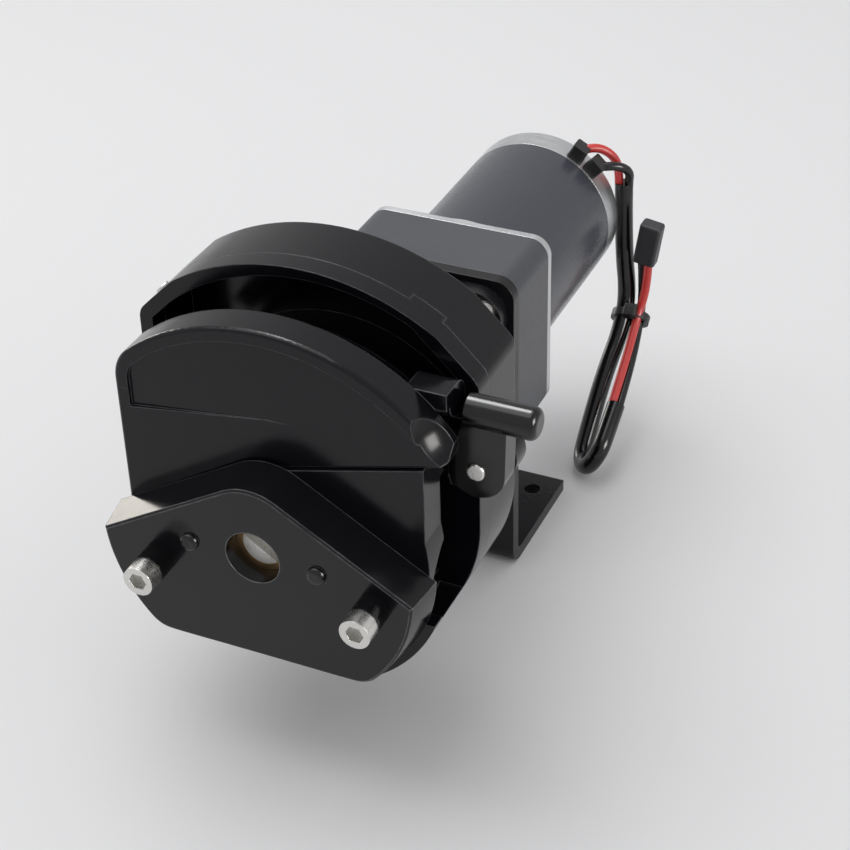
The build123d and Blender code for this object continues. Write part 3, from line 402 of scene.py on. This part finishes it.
bushBronze = dict(
    colour=(0.42, 0.27, 0.13), second=(0.55, 0.36, 0.18), edgeWearHighlightColour=(0.8, 0.6, 0.35), metallic=1.0,
    rough=(0.3, 0.45), patch=120.0, ringRough=0.08, bump=0.3, density=2500.0, centre=pumpAxis,
    edgeRadius=0.0002, edgeStrength=1.5,
)
dress(machinedMetal("bushBronze", bushBronze), "front_shaft_bush", "output_bearing")
woundCopper = dict(
    colour=(0.55, 0.22, 0.10), second=(0.66, 0.30, 0.15), edgeWearHighlightColour=(0.8, 0.45, 0.25), metallic=1.0,
    rough=(0.25, 0.4), patch=100.0, ringRough=0.15, bump=1.0, density=1400.0, centre=pumpAxis,
    edgeRadius=0.0003, edgeStrength=1.0,
)
dress(machinedMetal("woundCopper", woundCopper), "armature_windings", "commutator")
coreIron = dict(
    colour=(0.16, 0.16, 0.17), second=(0.24, 0.24, 0.25), edgeWearHighlightColour=(0.4, 0.4, 0.4), metallic=0.8,
    rough=(0.4, 0.55), patch=100.0, ringRough=0.12, bump=0.8, density=1200.0, centre=pumpAxis,
    edgeRadius=0.0002, edgeStrength=1.0,
)
dress(machinedMetal("coreIron", coreIron), "motor_magnets", "armature_core", "motor_brushes")
print("finishes on the frame")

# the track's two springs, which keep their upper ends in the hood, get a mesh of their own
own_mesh(nodes["track_springs"])


def turnedHead(name, head, material):
    # Surface of revolution: radius r(u) and height h(u) run along the profile, the angle v goes once
    # round, and each point is place + r cos v * side + r sin v * across + h * axis. Points less than
    # slotHalf from the middle line, inside the rim, are lowered by slotDepth, which leaves the slot.
    radius, height = np.array(head["profile"]).T
    rings, count = head["rings"], head["facets"]
    steps = np.linspace(0.0, 1.0, len(radius))
    along = np.linspace(0.0, 1.0, rings)
    r = np.interp(along, steps, radius)[:, None]
    h = np.interp(along, steps, height)[:, None]
    turn = np.linspace(0.0, 2.0 * np.pi, count, endpoint=False)[None, :]
    sideways, forwards = r * np.cos(turn), r * np.sin(turn)
    inSlot = (np.abs(forwards) < head["slotHalf"]) & (r < head["rimShare"] * radius.max()) & (h > 0.0)
    h = np.where(inSlot, h - head["slotDepth"], h + 0.0 * turn)
    axis = np.array(head["axis"]) / np.linalg.norm(head["axis"])
    side = np.cross(axis, (0.0, 1.0, 0.0))
    side /= np.linalg.norm(side)
    across = np.cross(axis, side)
    place = np.array(head["place"])
    points = place + sideways[..., None] * side + forwards[..., None] * across + h[..., None] * axis
    row, column = np.meshgrid(np.arange(rings - 1), np.arange(count), indexing="ij")
    after = (column + 1) % count
    quads = np.stack((row * count + column, row * count + after, (row + 1) * count + after,
                      (row + 1) * count + column), axis=-1).reshape(-1, 4)
    verts = np.vstack((points.reshape(-1, 3), (place + h[-1].mean() * axis)[None, :]))
    topRow = (rings - 1) * count
    caps = [[topRow + a, topRow + (a + 1) % count, len(verts) - 1] for a in range(count)]
    mesh = bpy.data.meshes.new(name)
    mesh.from_pydata(verts.tolist(), [], quads.tolist() + caps)
    mesh.materials.append(material)
    mesh.update()
    made = bpy.data.objects.new(name, mesh)
    bpy.context.scene.collection.objects.link(made)
    return made


# small slotted screw in the ring's left shoulder, which holds the ring on the housing
screwRadius, screwStand, screwSink, rimShare = 0.0021, 0.0005, 0.0008, 0.93
shoulderScrew = dict(
    place=(-0.0441, -0.0957, 0.1272), axis=(-1.0, 0.0, 1.0), rings=33, facets=72,
    slotHalf=0.0003, slotDepth=0.0006, rimShare=rimShare,
    profile=[(screwRadius, -screwSink), (screwRadius, 0.6 * screwStand), (rimShare * screwRadius, screwStand),
             (0.6 * screwRadius, 1.1 * screwStand), (0.02 * screwRadius, 1.15 * screwStand)],
)
ringScrew = turnedHead("ringScrew", shoulderScrew, screwSteel)
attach(ringScrew, "frame")
print("ring screw turned")

# insulation, used on the leads
redInsulation = dict(
    colour=(0.60, 0.022, 0.018), second=(0.70, 0.045, 0.035), edgeWearHighlightColour=(0.8, 0.2, 0.18),
    rough=(0.3, 0.42), patch=140.0, grain=1800.0, bump=0.1, coat=0.2,
    edgeRadius=0.0002, edgeStrength=0.6, dust=0.05,
)
redMaterial = coatedSurface("redInsulation", redInsulation)
blackInsulation = dict(
    colour=(0.0035, 0.0035, 0.0040), second=(0.0070, 0.0070, 0.0075), edgeWearHighlightColour=(0.05, 0.05, 0.05),
    rough=(0.2, 0.32), patch=140.0, grain=1800.0, bump=0.1,
    edgeRadius=0.0002, edgeStrength=0.6, dust=0.01,
)
blackMaterial = coatedSurface("blackInsulation", blackInsulation)
sleeveInsulation = dict(
    colour=(0.0022, 0.0022, 0.0026), second=(0.0045, 0.0045, 0.0052), edgeWearHighlightColour=(0.05, 0.05, 0.05),
    rough=(0.12, 0.22), patch=70.0, grain=420.0, bump=0.4, ior=1.48,
    edgeRadius=0.0003, edgeStrength=0.6, dust=0.008,
)
sleeveMaterial = coatedSurface("sleeveInsulation", sleeveInsulation)


def layLead(name, points, diameter, material):
    curve = bpy.data.curves.new(name, "CURVE")
    curve.dimensions = "3D"
    spline = curve.splines.new("NURBS")
    spline.points.add(len(points) - 1)
    for point, place in zip(spline.points, points):
        point.co = (*place, 1.0)
    spline.order_u = 3
    spline.use_endpoint_u = True
    spline.resolution_u = 24
    curve.bevel_depth = diameter / 2
    curve.bevel_resolution = 8
    curve.use_fill_caps = True
    curve.materials.append(material)
    lead = bpy.data.objects.new(name, curve)
    bpy.context.scene.collection.objects.link(lead)
    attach(lead, "frame")
    return lead


leadPoints = {
    "redLead": [(0.0144, 0.0715, 0.1002), (0.0186, 0.0751, 0.1020), (0.0254, 0.0791, 0.0966),
                (0.0260, 0.0805, 0.0864), (0.0263, 0.0803, 0.0740)],
    "blackLead": [(0.0204, 0.0715, 0.0956), (0.0266, 0.0743, 0.0964), (0.0302, 0.0789, 0.0926),
                  (0.0291, 0.0807, 0.0864), (0.0295, 0.0804, 0.0740)],
    "leadSleeve": [(0.0275, 0.0806, 0.0870), (0.0284, 0.0799, 0.0630), (0.0314, 0.0779, 0.0450),
                   (0.0317, 0.0702, 0.0349), (0.0305, 0.0579, 0.0245), (0.0302, 0.0429, 0.0094),
                   (0.0308, 0.0351, 0.0029), (0.0356, 0.0279, 0.0056), (0.0400, 0.0279, 0.0136),
                   (0.0400, 0.0357, 0.0183), (0.0398, 0.0438, 0.0225)],
    "redTail": [(0.0387, 0.0407, 0.0216), (0.0380, 0.0565, 0.0304), (0.0367, 0.0737, 0.0408),
                (0.0386, 0.0763, 0.0510), (0.0393, 0.0745, 0.0624)],
    "blackTail": [(0.0407, 0.0420, 0.0199), (0.0395, 0.0584, 0.0278), (0.0368, 0.0760, 0.0374),
                  (0.0364, 0.0791, 0.0496), (0.0360, 0.0771, 0.0624)],
}
leadSizes = {"wire": 0.003, "sleeve": 0.0062}
redLead = layLead("redLead", leadPoints["redLead"], leadSizes["wire"], redMaterial)
blackLead = layLead("blackLead", leadPoints["blackLead"], leadSizes["wire"], blackMaterial)
leadSleeve = layLead("leadSleeve", leadPoints["leadSleeve"], leadSizes["sleeve"], sleeveMaterial)
redTail = layLead("redTail", leadPoints["redTail"], leadSizes["wire"], redMaterial)
blackTail = layLead("blackTail", leadPoints["blackTail"], leadSizes["wire"], blackMaterial)
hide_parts("red_lead")
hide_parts("black_lead")
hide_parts("lead_sleeve", "lead_hank")
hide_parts("red_tail")
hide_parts("black_tail")
print("leads laid")

# floor, soft light and camera
studio = dict(
    floorColour=(0.80, 0.80, 0.805), floorRough=0.7, floorSpecular=0.2, floorHalf=6.0,
    skyColour=(0.86, 0.86, 0.87), skyStrength=0.70,
)
white = (1.0, 1.0, 1.0)
bodyCentre = (0.0, -0.03, 0.08)
# The last three only show in gloss: over the head, low on the left, and on the right for the hood's scoop.
lamps = {
    "keyLamp": dict(place=(-0.38, 0.02, 1.20), aim=bodyCentre, size=1.2, power=7.8, tint=white, shinesOnly=False),
    "fillLamp": dict(place=(1.0, -0.1, 0.55), aim=bodyCentre, size=0.8, power=0.8, tint=white, shinesOnly=False),
    "overheadGlint": dict(place=(-0.42, 0.30, 1.20), aim=(0.0, -0.10, 0.12), size=0.42, power=7.5, tint=white,
                          shinesOnly=True),
    "windowGlint": dict(place=(-0.736, 0.351, 0.125), aim=(-0.034, -0.128, 0.081), size=0.22, power=0.7,
                        tint=(1.0, 0.95, 0.86), shinesOnly=True),
    "scoopGlint": dict(place=(0.975, -0.27, 0.44), aim=(0.045, -0.118, 0.115), size=0.45, power=8.0,
                       tint=(1.0, 0.98, 0.94), shinesOnly=True),
}
half = studio["floorHalf"]
floorMesh = bpy.data.meshes.new("floor")
floorMesh.from_pydata([(-half, -half, 0), (half, -half, 0), (half, half, 0), (-half, half, 0)], [], [(0, 1, 2, 3)])
floorMesh.update()
floor = bpy.data.objects.new("floor", floorMesh)
bpy.context.scene.collection.objects.link(floor)
floorMaterial = bpy.data.materials.new("floorPaper")
floorMaterial.use_nodes = True
floorShader = floorMaterial.node_tree.nodes["Principled BSDF"]
floorShader.inputs["Base Color"].default_value = (*studio["floorColour"], 1.0)
floorShader.inputs["Roughness"].default_value = studio["floorRough"]
floorShader.inputs["Specular IOR Level"].default_value = studio["floorSpecular"]
floorMesh.materials.append(floorMaterial)

world = bpy.data.worlds.new("softRoom")
bpy.context.scene.world = world
world.use_nodes = True
background = world.node_tree.nodes["Background"]
background.inputs["Color"].default_value = (*studio["skyColour"], 1.0)
background.inputs["Strength"].default_value = studio["skyStrength"]


def softLamp(name, place, aim, size, power, tint, shinesOnly):
    lamp = bpy.data.lights.new(name, "AREA")
    lamp.shape = "SQUARE"
    lamp.size = size
    lamp.energy = power
    lamp.color = tint
    stand = bpy.data.objects.new(name, lamp)
    direction = np.array(aim) - np.array(place)
    backward = -direction / np.linalg.norm(direction)
    side = np.cross((0.0, 0.0, 1.0), backward)
    side /= np.linalg.norm(side)
    turn = np.eye(4)
    turn[:3, 0], turn[:3, 1], turn[:3, 2], turn[:3, 3] = side, np.cross(backward, side), backward, place
    stand.matrix_world = Matrix(turn.tolist())
    stand.visible_camera = False
    stand.visible_diffuse = not shinesOnly  # a glint lamp is seen in gloss alone, and lights nothing
    bpy.context.scene.collection.objects.link(stand)


for lampName, values in lamps.items():
    softLamp(lampName, **values)

view = dict(
    place=(0.21727, -0.48828, 0.40013), right=(0.9123, 0.4090, -0.0242), up=(-0.2138, 0.5257, 0.8233),
    forward=(-0.3494, 0.7459, -0.5670), lens=83.92, sensor=36.0, nearest=0.01,
)
cameraData = bpy.data.cameras.new("camera")
cameraData.lens = view["lens"]
cameraData.sensor_width = view["sensor"]
cameraData.clip_start = view["nearest"]
camera = bpy.data.objects.new("camera", cameraData)
columns = np.array([view["right"], view["up"], [-value for value in view["forward"]]]).T
camera.matrix_world = Matrix([[*row, where] for row, where in zip(columns.tolist(), view["place"])] + [[0, 0, 0, 1]])
bpy.context.scene.collection.objects.link(camera)
bpy.context.scene.camera = camera
bpy.context.scene.view_settings.view_transform = "Standard"
print("studio set")
